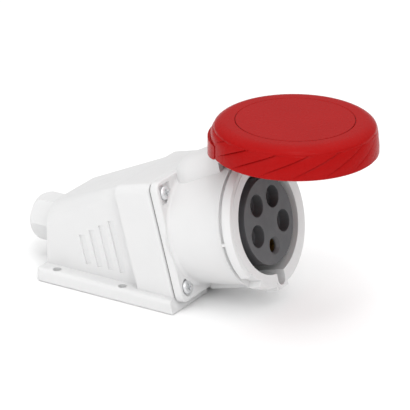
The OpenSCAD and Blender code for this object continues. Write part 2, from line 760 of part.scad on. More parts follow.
// Slotted clamp screws in the terminal ends, wound in far enough to show on the outside
module terminal_screws() {
    slot_w = terminal_screw_d / 5;
    screw_in = wire_bore_d / 2;
    color(steel) for (i = [0 : 4]) at_contact(i)
        translate([screw_in, 0, carrier_rear - terminal_len / 2]) rotate([0, 90, 0]) difference() {
            cylinder(d = terminal_screw_d, h = terminal_screw_len);
            translate([-terminal_screw_d, -slot_w / 2, terminal_screw_len - slot_w])
                cube([2 * terminal_screw_d, slot_w, 2 * slot_w]);
        }
}

module carrier_screws() {
    color(steel) on_axis() for (y = [-1, 1])
        translate([0, y * carrier_screw_dx / 2, carrier_seat]) rotate([180, 0, 0])
            cross_screw(carrier_head_d, carrier_head_h, carrier_screw_d,
                carrier_flange_t + insert_flange_t + carrier_grip - run_gap);
}

module lid_disc() {
    neck_r = ring_inner_r - run_gap;
    edge_r = joint_line_d / 2 - run_gap / 2;
    rim_r = seal_bore_d / 2 - fit_gap;
    tongue_low = -hinge_back;
    color(red_plastic) difference() {
        union() {
            in_lid() rotate_extrude() polygon([
                [0, disc_under],
                [disc_r, disc_under],
                [disc_r, disc_top],
                [neck_r, disc_top],
                [neck_r, lid_top - disc_edge_t],
                [edge_r, lid_top - disc_edge_t],
                [edge_r, lid_top],
                [0, lid_top]
            ]);
            // Rim that keeps the lid seal in place
            in_lid() difference() {
                translate([0, 0, seal_face]) cylinder(r = rim_r, h = disc_under - seal_face);
                translate([0, 0, seal_face - past]) cylinder(r = rim_r - seal_rim_t, h = disc_under - seal_face + past);
            }
            // Tongue inside the ring, floor under it and saddle outside it
            in_lid() intersection() {
                translate([-tongue_r, -lid_knuckle_w / 2, tongue_low]) cube([tongue_t, lid_knuckle_w, disc_top - tongue_low]);
                cylinder(r = tongue_r, h = far, center = true);
            }
            in_lid() ring_sector(tongue_r - tongue_t, saddle_r + saddle_t, saddle_under, saddle_under + saddle_floor,
                180, asin(lid_knuckle_w / 2 / tongue_r));
            in_lid() ring_sector(saddle_r, saddle_r + saddle_t, saddle_under, saddle_top, 180, saddle_half);
            in_lid() translate([-hinge_p, 0, -hinge_back]) rotate([90, 0, 0])
                cylinder(d = knuckle_d, h = lid_knuckle_w, center = true);
        }
        in_lid() translate([-hinge_p, 0, -hinge_back]) rotate([90, 0, 0])
            cylinder(d = pin_d + 2 * pin_gap, h = lid_knuckle_w + 2 * past, center = true);
    }
}

module lid_seal() {
    color(rubber_grey) in_lid() rotate_extrude() translate([seal_bore_d / 2, seal_face])
        square([(seal_d - seal_bore_d) / 2, disc_under - seal_face]);
}

module locking_ring() {
    shoulder_x = ring_top_d / 2 - ring_shoulder;
    shoulder_z = lid_top - ring_shoulder;
    ledge_r = joint_line_d / 2 + run_gap / 2;
    bore_r = ring_bore_d / 2;
    color(red_plastic) in_lid() {
        rotate_extrude() polygon(concat(
            [[ring_inner_r, ring_under], [ring_inner_r, ledge_top], [ledge_r, ledge_top], [ledge_r, lid_top]],
            [for (a = [90 : -shoulder_step : 0]) [shoulder_x, shoulder_z] + ring_shoulder * [cos(a), sin(a)]],
            [[ring_d / 2, ring_rim], [bore_r, ring_rim], [bore_r, ring_under]]
        ));
        for (turn = [0, 180]) ring_sector(lug_r, bore_r + past, lug_centre - lug_t / 2, lug_centre + lug_t / 2,
            turn - lug_entry, lug_angle / 2);
    }
}

module hinge_pin() {
    color(steel) on_face() translate([hinge_x, 0, hinge_s]) rotate([90, 0, 0])
        cylinder(d = pin_d, h = tower_w, center = true);
}

module gland_body() {
    color(white_plastic) on_gland() difference() {
        union() {
            translate([0, 0, -wall - gland_stem_len])
                cylinder(d = gland_stem_d, h = wall + gland_stem_len + hex_end - past);
            translate([0, 0, gland_washer_t]) hex_bar(gland_flats, gland_hex_len);
            translate([0, 0, gland_washer_t]) cylinder(d = gland_stub_d, h = stub_end - gland_washer_t);
        }
        translate([0, 0, -wall - gland_stem_len - past])
            cylinder(d = gland_bore_d, h = wall + gland_stem_len + stub_end + 2 * past);
    }
}

module gland_washer() {
    color(rubber_grey) on_gland() difference() {
        cylinder(d = gland_flats, h = gland_washer_t);
        translate([0, 0, -past]) cylinder(d = gland_stem_d + 2 * fit_gap, h = gland_washer_t + 2 * past);
    }
}

module gland_locknut() {
    color(white_plastic) on_gland() translate([0, 0, -wall - locknut_t]) difference() {
        hex_bar(locknut_flats, locknut_t);
        translate([0, 0, -past]) cylinder(d = gland_stem_d + 2 * fit_gap, h = locknut_t + 2 * past);
    }
}

module gland_seal() {
    color(rubber_grey) on_gland() difference() {
        translate([0, 0, stub_end]) cylinder(d = gland_stub_d, h = nut_shoulder - run_gap - stub_end);
        translate([0, 0, stub_end - past]) cylinder(d = cable_d, h = nut_len);
    }
}

module gland_nut() {
    dome_r = nut_flats / 2 / cos(30) + run_gap;
    color(white_plastic) on_gland() difference() {
        intersection() {
            translate([0, 0, nut_start]) hex_bar(nut_flats, nut_len + past);
            rotate_extrude() polygon(concat(
                [[0, nut_start - past], [dome_r, nut_start - past]],
                [for (a = [0 : dome_step : 90]) [dome_r, nut_end] + nut_dome * [cos(a) - 1, sin(a) - 1]],
                [[0, nut_end]]
            ));
        }
        translate([0, 0, nut_start - past])
            cylinder(d = gland_stub_d + 2 * run_gap, h = nut_shoulder - nut_start + past);
        translate([0, 0, nut_start]) cylinder(d = nut_mouth_d, h = nut_len + past);
    }
}

back_box();
front_gasket();
socket_front();
cover_screws();
contact_insert();
contact_carrier();
sleeve_l1();
sleeve_l2();
sleeve_l3();
sleeve_neutral();
sleeve_earth();
terminal_screws();
carrier_screws();
lid_disc();
lid_seal();
locking_ring();
hinge_pin();
gland_body();
gland_washer();
gland_locknut();
gland_seal();
gland_nut();
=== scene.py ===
"""Looks of an angled wall socket with a hinged red lid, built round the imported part.

The box, the gland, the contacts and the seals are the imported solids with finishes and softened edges. The
socket front, the lid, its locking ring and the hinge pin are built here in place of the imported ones. The
frame has the mounting face at z = 0, +X towards the plug side and +Z away from the wall. New pieces are given
in millimetres and the studio in metres.
"""

from __future__ import annotations

import json
import logging
import math
from dataclasses import dataclass
from enum import Enum

import bpy
import numpy as np
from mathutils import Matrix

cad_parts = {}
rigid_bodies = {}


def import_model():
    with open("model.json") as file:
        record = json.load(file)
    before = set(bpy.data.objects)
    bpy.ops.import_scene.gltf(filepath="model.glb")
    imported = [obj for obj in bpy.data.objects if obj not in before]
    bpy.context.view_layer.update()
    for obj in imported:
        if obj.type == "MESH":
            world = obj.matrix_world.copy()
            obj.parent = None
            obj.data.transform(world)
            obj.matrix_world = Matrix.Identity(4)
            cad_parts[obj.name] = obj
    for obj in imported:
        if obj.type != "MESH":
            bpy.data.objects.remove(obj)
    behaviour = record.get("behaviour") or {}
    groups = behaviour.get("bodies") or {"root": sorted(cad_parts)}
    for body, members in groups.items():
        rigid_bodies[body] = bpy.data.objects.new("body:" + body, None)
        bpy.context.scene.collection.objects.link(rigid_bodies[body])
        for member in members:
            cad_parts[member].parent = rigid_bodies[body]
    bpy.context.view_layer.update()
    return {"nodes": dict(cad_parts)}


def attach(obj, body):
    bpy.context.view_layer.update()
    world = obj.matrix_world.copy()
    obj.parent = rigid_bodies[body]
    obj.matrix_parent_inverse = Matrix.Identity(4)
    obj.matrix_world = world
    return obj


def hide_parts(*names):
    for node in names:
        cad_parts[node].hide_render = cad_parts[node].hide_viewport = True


LOG = logging.getLogger("wall_socket")
MM = 0.001

Colour = tuple[float, float, float]
Place = tuple[float, float, float]
Range = tuple[float, float]
Shell = tuple[np.ndarray, np.ndarray]
Constants = tuple[tuple[str, float], ...]

LID_CENTRE: Place = (121.918, 0.0, 114.561)
HINGE_AXIS: Place = (74.918, 0.0, 96.161)
ABOUT_Y = [1, 2, 0]  # order of the coordinates that lays a piece turned about Z along Y
NOISE_MIDDLE: Range = (0.3, 0.7)
RANGE_SOCKETS = ("From Min", "From Max", "To Min", "To Max")
WELD_GAP = 2e-6
FLAT_DEG = 0.6
SHARP_DEG = 34.0
SOFT_DEG = 28.0
SOFT_STEPS = 3
TINY = 1e-9


class Body(str, Enum):
    """Bodies that the pieces ride on."""

    HOUSING = "housing"
    LID = "lid"
    RING = "locking_ring"


class Slot(str, Enum):
    """Material slots of the record."""

    WHITE = "white_plastic"
    RED = "red_plastic"
    GREY = "grey_plastic"
    RUBBER = "seal_rubber"
    STEEL = "screw_steel"
    BRASS = "contact_brass"


class Graph:
    """A material's node tree, with short calls for the nodes that the finishes share."""

    def __init__(self, name: str) -> None:
        """Starts an empty material with a Principled shader wired to its output.

        Args:
            name: Name of the material.
        """
        self.material = bpy.data.materials.new(name)
        self.material.use_nodes = True
        self.tree = self.material.node_tree
        self.tree.nodes.clear()
        self.shader = self.add("ShaderNodeBsdfPrincipled")
        output = self.add("ShaderNodeOutputMaterial")
        self.link(self.shader.outputs["BSDF"], output.inputs["Surface"])
        self.place = self.add("ShaderNodeTexCoord").outputs["Object"]

    def add(self, kind: str) -> bpy.types.Node:
        """Adds a node of one kind and returns it."""
        return self.tree.nodes.new(kind)

    def link(self, source: bpy.types.NodeSocket, target: bpy.types.NodeSocket) -> None:
        """Joins an output socket to an input socket."""
        self.tree.links.new(source, target)

    def noise(self, scale: float, detail: float, stretch: Place = (1.0, 1.0, 1.0)) -> bpy.types.NodeSocket:
        """Noise over the piece's own coordinates.

        Args:
            scale: Features per metre.
            detail: Octaves of finer noise.
            stretch: Scale along each axis, for grain that runs one way.

        Returns:
            The noise's value, from 0 to 1.
        """
        mapping = self.add("ShaderNodeMapping")
        mapping.inputs["Scale"].default_value = stretch
        self.link(self.place, mapping.inputs["Vector"])
        node = self.add("ShaderNodeTexNoise")
        node.inputs["Scale"].default_value = scale
        node.inputs["Detail"].default_value = detail
        self.link(mapping.outputs["Vector"], node.inputs["Vector"])
        return node.outputs["Fac"]

    def spread(self, value: bpy.types.NodeSocket, low: float, high: float) -> bpy.types.NodeSocket:
        """Maps the middle of a noise's range to low and high.

        Args:
            value: A noise from 0 to 1.
            low: Result at the lower end of the middle.
            high: Result at its upper end.

        Returns:
            The mapped value.
        """
        node = self.add("ShaderNodeMapRange")
        for socket, limit in zip(RANGE_SOCKETS, (*NOISE_MIDDLE, low, high)):
            node.inputs[socket].default_value = limit
        self.link(value, node.inputs["Value"])
        return node.outputs["Result"]

    def tint(self, noise: bpy.types.NodeSocket, first: Colour, second: Colour) -> None:
        """Blends the base colour between two colours by a noise.

        Args:
            noise: A noise from 0 to 1.
            first: Colour where the noise is low.
            second: Colour where it is high.
        """
        mix = self.add("ShaderNodeMix")
        mix.data_type = "RGBA"
        mix.inputs["A"].default_value = (*first, 1.0)
        mix.inputs["B"].default_value = (*second, 1.0)
        self.link(self.spread(noise, 0.0, 1.0), mix.inputs["Factor"])
        self.link(mix.outputs["Result"], self.shader.inputs["Base Color"])

    def dull(self, noise: bpy.types.NodeSocket, roughness: Range) -> None:
        """Varies the roughness by a noise.

        Args:
            noise: A noise from 0 to 1.
            roughness: Roughness where the noise is low and where it is high.
        """
        self.link(self.spread(noise, *roughness), self.shader.inputs["Roughness"])

    def bump(self, height: bpy.types.NodeSocket, depth: float, strength: float) -> None:
        """Roughens the surface by a height.

        Args:
            height: The height, from 0 to 1.
            depth: Depth of the relief in metres.
            strength: Share of the relief that shows.
        """
        node = self.add("ShaderNodeBump")
        node.inputs["Strength"].default_value = strength
        node.inputs["Distance"].default_value = depth
        self.link(height, node.inputs["Height"])
        self.link(node.outputs["Normal"], self.shader.inputs["Normal"])


@dataclass(frozen=True)
class Finish:
    """A procedural finish, whose tone, roughness and relief each follow a noise of their own.

    A noise is given by its features per metre and its octaves. Constants are shader inputs, alike all over.
    """

    name: str
    colour: Colour
    shade: Colour
    roughness: Range
    grain: float
    tone_noise: Range
    gloss_noise: Range
    grain_noise: Range
    grain_depth: float = 0.00002
    stretch: Place = (1.0, 1.0, 1.0)
    constants: Constants = ()

    def material(self) -> bpy.types.Material:
        """Builds the finish and returns its material."""
        graph = Graph(self.name)
        graph.tint(graph.noise(*self.tone_noise), self.colour, self.shade)
        graph.dull(graph.noise(*self.gloss_noise, self.stretch), self.roughness)
        graph.bump(graph.noise(*self.grain_noise, self.stretch), self.grain_depth, self.grain)
        for socket, value in self.constants:
            graph.shader.inputs[socket].default_value = value
        return graph.material


@dataclass(frozen=True)
class MouldedPlastic(Finish):
    """Injection-moulded plastic: a faint drift of tone, spark-eroded grain and uneven gloss."""

    tone_noise: Range = (38.0, 3.0)
    gloss_noise: Range = (160.0, 4.0)
    grain_noise: Range = (2400.0, 2.0)
    constants: Constants = (("IOR", 1.5), ("Specular IOR Level", 0.5))


@dataclass(frozen=True)
class SealRubber(Finish):
    """Matt seal rubber with a dusty, slightly mottled surface."""

    roughness: Range = (0.62, 0.85)
    grain: float = 0.35
    tone_noise: Range = (220.0, 5.0)
    gloss_noise: Range = (500.0, 2.0)
    grain_noise: Range = (3000.0, 2.0)
    grain_depth: float = 0.00003
    constants: Constants = (("IOR", 1.48),)


@dataclass(frozen=True)
class TurnedMetal(Finish):
    """Metal with small changes of tone and fine tool marks, which run the way that the noise is stretched."""

    grain: float = 0.3
    tone_noise: Range = (300.0, 4.0)
    gloss_noise: Range = (900.0, 3.0)
    grain_noise: Range = (1400.0, 2.0)
    constants: Constants = (("Metallic", 1.0),)


FINISHES: dict[Slot, Finish] = {
    Slot.WHITE: MouldedPlastic(
        "white_moulding", (0.695, 0.695, 0.695), (0.682, 0.682, 0.684), roughness=(0.34, 0.44), grain=0.12,
    ),
    Slot.RED: MouldedPlastic(
        "red_moulding", (0.36, 0.0065, 0.0065), (0.345, 0.006, 0.006), roughness=(0.22, 0.3), grain=0.12,
        constants=(("IOR", 1.5), ("Specular IOR Level", 0.05)),
    ),
    Slot.GREY: MouldedPlastic(
        "dark_insulator", (0.085, 0.085, 0.09), (0.075, 0.075, 0.08), roughness=(0.45, 0.58), grain=0.3,
    ),
    Slot.RUBBER: SealRubber("seal_rubber", (0.10, 0.10, 0.10), (0.14, 0.14, 0.14)),
    Slot.STEEL: TurnedMetal(
        "zinc_plated_screws", (0.80, 0.81, 0.82), (0.72, 0.73, 0.74), roughness=(0.42, 0.55),
        stretch=(1.0, 1.0, 4.0),
    ),
    Slot.BRASS: TurnedMetal(
        "turned_brass", (0.66, 0.50, 0.22), (0.58, 0.42, 0.17), roughness=(0.22, 0.36),
        stretch=(4.0, 1.0, 1.0),
    ),
}


class Paintbox:
    """Makes each finish once and hands it out by its slot."""

    def __init__(self) -> None:
        """Builds the materials of every slot."""
        self.materials = {slot: finish.material() for slot, finish in FINISHES.items()}

    def paint(self, obj: bpy.types.Object, slot: Slot) -> None:
        """Gives an object one finish all over.

        Args:
            obj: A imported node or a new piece.
            slot: The slot whose finish it takes.
        """
        obj.data.materials.clear()
        obj.data.materials.append(self.materials[slot])


def full_turn(steps: int) -> np.ndarray:
    """Returns a number of even angles once round, in radians from 0."""
    return np.linspace(0.0, 2.0 * math.pi, steps, endpoint=False)


def eased(share: np.ndarray) -> np.ndarray:
    """A smooth step: three times the square of a share less twice its cube.

    Args:
        share: Shares, held between 0 and 1.

    Returns:
        The eased shares.
    """
    held = np.clip(share, 0.0, 1.0)
    return held * held * (3.0 - 2.0 * held)


def grid_faces(rows: int, columns: int, close_rows: bool, close_columns: bool) -> np.ndarray:
    """Quads over a grid of points stored row by row, wound so that rows run to the left of columns.

    Args:
        rows: Number of rows.
        columns: Points in a row.
        close_rows: Whether the last row joins the first.
        close_columns: Whether the last point of a row joins its first.

    Returns:
        An array of quads, four point numbers each.
    """
    row = np.arange(rows if close_rows else rows - 1)[:, None]
    column = np.arange(columns if close_columns else columns - 1)[None, :]
    here, above = row * columns, (row + 1) % rows * columns
    across = (column + 1) % columns
    return np.stack([here + column, here + across, above + across, above + column], axis=-1).reshape(-1, 4)


def about_axis(r: np.ndarray, angle: np.ndarray, z: np.ndarray) -> np.ndarray:
    """Points of a grid given by radius, angle and height about the Z axis.

    Args:
        r: Radius.
        angle: Angle in radians.
        z: Height.

    Returns:
        X, Y and Z of each point, one row each.
    """
    grid = np.broadcast_arrays(r * np.cos(angle), r * np.sin(angle), z)
    return np.stack(grid, axis=-1).reshape(-1, 3)


def turned(section: np.ndarray, steps: int) -> Shell:
    """A closed section carried once round the Z axis.

    Args:
        section: Radius and height of each point, anticlockwise.
        steps: Steps round the axis.

    Returns:
        Points and quads.
    """
    points = about_axis(section[:, :1], full_turn(steps), section[:, 1:])
    return points, grid_faces(len(section), steps, True, True)


def along_arc(r: np.ndarray, z: np.ndarray, angle: np.ndarray) -> Shell:
    """A section carried along an arc about the Z axis, with a fan of quads over each end.

    Args:
        r: Radius, a row for each point of the section, anticlockwise, and a column for each step of the arc.
        z: Height, in the same way.
        angle: Angle of each step in radians.

    Returns:
        Points and quads.
    """
    corners, steps = r.shape
    odd = np.arange(1, corners - 2, 2)
    first = np.stack([0 * odd, odd, odd + 1, odd + 2], axis=-1) * steps
    last = first[:, ::-1] + steps - 1
    return about_axis(r, angle, z), np.concatenate([grid_faces(corners, steps, True, False), first, last])


def joined(shells: list[Shell]) -> Shell:
    """Puts shells together as one.

    Args:
        shells: Points and quads of each.

    Returns:
        All points, and the quads renumbered to them.
    """
    starts = np.cumsum([0] + [len(points) for points, _ in shells])
    points = np.concatenate([points for points, _ in shells])
    return points, np.concatenate([quads + start for (_, quads), start in zip(shells, starts)])


def mesh_object(name: str, points: np.ndarray, quads: np.ndarray) -> bpy.types.Object:
    """Makes a smooth-shaded mesh object at the origin, with its sharp edges kept.

    Args:
        name: Name of the piece.
        points: Points in metres, one row each.
        quads: Four point numbers a row.

    Returns:
        The new object, linked to the scene.
    """
    mesh = bpy.data.meshes.new(name)
    mesh.from_pydata(points.tolist(), [], quads.tolist())
    mesh.polygons.foreach_set("use_smooth", np.ones(len(mesh.polygons), dtype=bool))
    mesh.set_sharp_from_angle(angle=math.radians(SHARP_DEG))
    mesh.update()
    obj = bpy.data.objects.new(name, mesh)
    bpy.context.scene.collection.objects.link(obj)
    return obj


def weld(obj: bpy.types.Object) -> None:
    """Joins points that lie together.

    Args:
        obj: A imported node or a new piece.
    """
    obj.modifiers.new("weld", "WELD").merge_threshold = WELD_GAP


def soften(obj: bpy.types.Object, width: float) -> None:
    """Rounds sharp edges as a mould does, after welding loose triangles and merging flat ones.

    Args:
        obj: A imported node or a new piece.
        width: Width of the rounding in metres.
    """
    weld(obj)
    flat = obj.modifiers.new("flat", "DECIMATE")
    flat.decimate_type = "DISSOLVE"
    flat.angle_limit = math.radians(FLAT_DEG)
    bevel = obj.modifiers.new("edge", "BEVEL")
    bevel.width = width
    bevel.segments = SOFT_STEPS
    bevel.limit_method = "ANGLE"
    bevel.angle_limit = math.radians(SOFT_DEG)
    bevel.use_clamp_overlap = True
    bevel.harden_normals = False
    bevel.miter_outer = "MITER_ARC"
    normals = obj.modifiers.new("normals", "WEIGHTED_NORMAL")
    normals.keep_sharp = True


@dataclass
class LockingRing:
    """The lid's bayonet ring: a turned ring whose skirt is pressed into a swirl of overlapping blades.

    Heights are from the lid's centre. Shares run from 0 to 1 up the skirt or along a blade.
    """

    top: float = 9.6
    rim: float = -9.8
    rim_r: float = 49.9
    top_r: float = 48.2
    bore_r: float = 46.7
    bore_rows: tuple[float, ...] = (3.0, -2.0, -6.0)
    shoulder: float = 4.6
    shoulder_r: float = 2.6
    crown_deg: float = 45.0
    arc_steps: tuple[int, int] = (12, 14)
    draw_power: float = 2.2
    lip: float = 0.35
    lip_h: float = 0.3
    under: float = 7.2
    ledge_r: float = 35.65
    ledge_top: float = 8.4
    inner_r: float = 32.9
    edge: float = 0.5
    blades: int = 16
    blade_depth: float = 1.45
    blade_at_rim: float = 0.12
    swell_end: float = 0.6
    fall_power: float = 1.6
    groove_share: float = 0.5
    groove_len: float = 0.05
    foot_columns: tuple[float, ...] = (0.0, 0.012, 0.03, 0.06)
    run_columns: tuple[float, float, int] = (0.1, 0.96, 18)
    last_column: float = 0.985
    turn_power: float = 1.2
    blade_sweep_deg: float = 33.0
    blade_start_deg: float = 4.7
    plain_deg: Range = (50.0, 70.0)
    plain_power: float = 7.0
    lug_r: float = 39.1
    lug_z: Range = (-8.5, -6.9)
    lug_edge: float = 0.25
    lug_sink: float = 0.4
    lug_deg: float = 12.0
    lug_steps: int = 13
    lug_entry_deg: float = 44.0
    skin_rows: int = 34

    def shoulder_arcs(self) -> Shell:
        """Outline of the shoulder: a small arc off the skirt, then a wide one that ends level with the top.

        The two arcs meet where both face crown_deg above the level. The wide arc's radius follows from the
        height that the small one leaves.

        Returns:
            Radius and height of each point, from the skirt to the top.
        """
        meet = math.radians(self.crown_deg)
        small, (small_steps, wide_steps) = self.shoulder_r, self.arc_steps
        wide = (self.shoulder - small * math.sin(meet)) / (1.0 - math.sin(meet))
        middle = self.top_r - small * (1.0 - math.cos(meet)) - wide * math.cos(meet)
        low = np.linspace(0.0, meet, small_steps)
        high = np.linspace(meet, math.pi / 2, wide_steps)[1:]
        radius = np.concatenate([self.top_r + small * (np.cos(low) - 1.0), middle + wide * np.cos(high)])
        height = np.concatenate([small * np.sin(low) - self.shoulder, wide * (np.sin(high) - 1.0)])
        return radius, self.top + height

    def profile(self) -> tuple[np.ndarray, np.ndarray, np.ndarray, np.ndarray]:
        """Closed outline of the ring's section, from the rim up the skin, over the top and down the bore.

        The blade share swells from a little at the rim to the whole depth under the shoulder. The turn share
        carries the points round with the swirl, by a power of the height, and falls back to nought down the
        bore. The skin's radius is the rim's, which skin() draws in.

        Returns:
            Radius, height, blade share and turn share of each point.
        """
        rise = np.linspace(0.0, 1.0, self.skin_rows)
        low, high = self.rim + self.edge, self.top - self.shoulder - self.lip_h
        blade = self.blade_at_rim + (1.0 - self.blade_at_rim) * eased(rise / self.swell_end)
        shoulder_r, shoulder_z = self.shoulder_arcs()
        e = self.edge / 2
        over = np.array([
            (self.ledge_r + e, self.top), (self.ledge_r, self.top - e), (self.ledge_r, self.ledge_top),
            (self.inner_r + e, self.ledge_top), (self.inner_r, self.ledge_top - e),
            (self.inner_r, self.under + e), (self.inner_r + e, self.under), (self.bore_r - e, self.under),
        ])
        down = np.array([
            (self.bore_r, self.under - e), *((self.bore_r, z) for z in self.bore_rows),
            (self.bore_r, self.rim + e), (self.bore_r + e, self.rim), (self.rim_r - self.edge, self.rim),
        ])
        plain = len(shoulder_r) + len(over)
        radius = np.concatenate([np.full(self.skin_rows, self.rim_r), shoulder_r, over[:, 0], down[:, 0]])
        height = np.concatenate([low + (high - low) * rise, shoulder_z, over[:, 1], down[:, 1]])
        share = np.concatenate([blade, np.zeros(plain + len(down))])
        turn = np.concatenate([rise**self.turn_power, np.ones(plain), np.linspace(1.0, 0.0, len(down))])
        return radius, height, share, turn

    def columns(self) -> tuple[np.ndarray, np.ndarray]:
        """Angles of the grid's columns and the depth of the blades there.

        Each blade is deepest just past its step and rises to the full skin before the next. The depth is a
        slow fall along the whole blade plus a fast one, which leaves a narrow groove at the step's foot.

        Returns:
            Angle of each column in radians, and its depth from 0 to 1.
        """
        along = np.concatenate([self.foot_columns, np.linspace(*self.run_columns), [self.last_column]])
        slow, fast = (1.0 - along) ** self.fall_power, np.exp(-along / self.groove_len)
        depth = (1.0 - self.groove_share) * slow + self.groove_share * fast
        depth[0] = 0.0
        pitch = 2.0 * math.pi / self.blades
        angle = (np.arange(self.blades)[:, None] + along[None, :]) * pitch
        return angle.ravel() + math.radians(self.blade_start_deg), np.tile(depth, self.blades)

    def skin(self) -> Shell:
        """The whole ring as one closed grid: the section carried round the axis, turned with the swirl.

        The skirt draws in towards the shoulder by a power of its height. The power grows and the blades fade
        out towards the hinge side, where the skirt is plain and full inside the lid's saddle.

        Returns:
            Points from the lid's centre and quads.
        """
        radius, height, share, turn = self.profile()
        angle, depth = self.columns()
        a = angle[None, :] + math.radians(self.blade_sweep_deg) * turn[:, None]
        plain, full = self.plain_deg
        away = np.clip((np.degrees(np.arccos(-np.cos(a))) - plain) / (full - plain), 0.0, 1.0)
        rise = np.zeros((len(radius), 1))
        rise[: self.skin_rows, 0] = np.linspace(0.0, 1.0, self.skin_rows)
        power = self.draw_power + self.plain_power * (1.0 - away)
        draw = (self.rim_r - self.top_r - self.lip) * rise**power
        r = radius[:, None] - draw - self.blade_depth * share[:, None] * depth[None, :] * away
        return about_axis(r, a, height[:, None]), grid_faces(*r.shape, True, True)

    def lug(self, middle_deg: float) -> Shell:
        """One bayonet lug: a square section, from inside the skirt inwards, carried along a short arc.

        Args:
            middle_deg: Angle of the lug's middle.

        Returns:
            Points from the lid's centre and quads.
        """
        (low, high), e, root = self.lug_z, self.lug_edge, self.bore_r + self.lug_sink
        section = np.array([
            (root, low), (root, high), (self.lug_r + e, high), (self.lug_r, high - e), (self.lug_r, low + e),
            (self.lug_r + e, low),
        ])
        r, z = np.repeat(section.T[:, :, None], self.lug_steps, axis=2)
        return along_arc(r, z, np.radians(middle_deg + np.linspace(-0.5, 0.5, self.lug_steps) * self.lug_deg))

    def build(self, paintbox: Paintbox) -> bpy.types.Object:
        """Builds the ring with its two lugs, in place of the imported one.

        Args:
            paintbox: The finishes.

        Returns:
            The ring.
        """
        lugs = [self.lug(middle_deg - self.lug_entry_deg) for middle_deg in (0.0, 180.0)]
        points, quads = joined([self.skin(), *lugs])
        obj = mesh_object("locking_ring_grip", (points + np.array(LID_CENTRE)) * MM, quads)
        paintbox.paint(obj, Slot.RED)
        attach(obj, Body.RING.value)
        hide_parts("locking_ring")
        return obj


@dataclass
class LidShell:
    """The lid's disc, seal rim, hinge arm and saddle. Heights are from the lid's centre."""

    hub_r: float = 0.05
    top: float = 9.6
    edge_r: float = 35.35
    edge_t: float = 0.9
    neck_r: float = 32.6
    disc_r: float = 46.1
    disc_z: Range = (4.4, 6.9)
    rim_r: Range = (29.8, 31.4)
    rim_z: Range = (0.3, 4.6)
    arm_r: Range = (42.0, 46.4)
    arm_half_deg: float = 9.3
    arm_low: float = -15.2
    arm_steps: int = 9
    saddle_r: float = 50.0
    saddle_t: float = 1.9
    saddle_tip: float = 0.3
    saddle_z: Range = (-12.4, -1.2)
    saddle_half_deg: float = 50.0
    saddle_power: int = 4
    saddle_fall: float = 0.4
    saddle_rise: float = 2.6
    saddle_steps: int = 65
    floor_t: float = 2.0
    knuckle_r: Range = (2.06, 5.5)
    knuckle_w: float = 15.0
    knuckle_steps: int = 64
    round_steps: int = 128
    softening: float = 0.3

    def arc(
        self, half_deg: float, inner: float, outer: np.ndarray, low: np.ndarray, high: np.ndarray
    ) -> Shell:
        """A four-sided section carried along an arc about the hinge side.

        Args:
            half_deg: Half of the arc's angle.
            inner: Inner radius.
            outer: Outer radius at each step of the arc.
            low: Height of the underside at each step.
            high: Height of the top at each step.

        Returns:
            Points from the lid's centre and quads.
        """
        bore = np.full(len(outer), inner)
        angle = np.radians(180.0 + np.linspace(-half_deg, half_deg, len(outer)))
        return along_arc(np.stack([bore, outer, outer, bore]), np.stack([low, low, high, high]), angle)

    def saddle(self) -> Shell:
        """The saddle behind the ring, full in the middle and thin and narrow at its ends.

        Its thickness and the heights of its edges change by a power of the way to the ends.

        Returns:
            Points from the lid's centre and quads.
        """
        away = np.linspace(-1.0, 1.0, self.saddle_steps) ** self.saddle_power
        outer = self.saddle_r + self.saddle_t - (self.saddle_t - self.saddle_tip) * away
        low, high = self.saddle_z
        low, high = low + self.saddle_rise * away, high - self.saddle_fall * away
        return self.arc(self.saddle_half_deg, self.saddle_r, outer, low, high)

    def knuckle(self) -> Shell:
        """The bored knuckle: a square section carried once round the hinge's axis.

        Returns:
            Points from the lid's centre and quads.
        """
        half, (bore, outside) = self.knuckle_w / 2, self.knuckle_r
        section = np.array([(bore, -half), (outside, -half), (outside, half), (bore, half)])
        points, quads = turned(section, self.knuckle_steps)
        return points[:, ABOUT_Y] + np.array(HINGE_AXIS) - np.array(LID_CENTRE), quads

    def build(self, paintbox: Paintbox) -> bpy.types.Object:
        """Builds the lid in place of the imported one.

        Args:
            paintbox: The finishes.

        Returns:
            The lid.
        """
        (low, high), shelf = self.disc_z, self.top - self.edge_t
        disc = np.array([
            (self.hub_r, low), (self.disc_r, low), (self.disc_r, high), (self.neck_r, high),
            (self.neck_r, shelf), (self.edge_r, shelf), (self.edge_r, self.top), (self.hub_r, self.top),
        ])
        (inner, outer), (foot, head) = self.rim_r, self.rim_z
        rim = np.array([(inner, foot), (outer, foot), (outer, head), (inner, head)])
        ones, under = np.ones(self.arm_steps), self.saddle_z[0]
        start, end = self.arm_r
        back = self.saddle_r + self.saddle_t / 2
        points, quads = joined([
            turned(disc, self.round_steps), turned(rim, self.round_steps), self.saddle(), self.knuckle(),
            self.arc(self.arm_half_deg, start, end * ones, self.arm_low * ones, high * ones),
            self.arc(self.arm_half_deg, start, back * ones, under * ones, (under + self.floor_t) * ones),
        ])
        obj = mesh_object("lid_shell", (points + np.array(LID_CENTRE)) * MM, quads)
        soften(obj, self.softening * MM)
        paintbox.paint(obj, Slot.RED)
        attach(obj, Body.LID.value)
        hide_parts("lid_disc")
        return obj


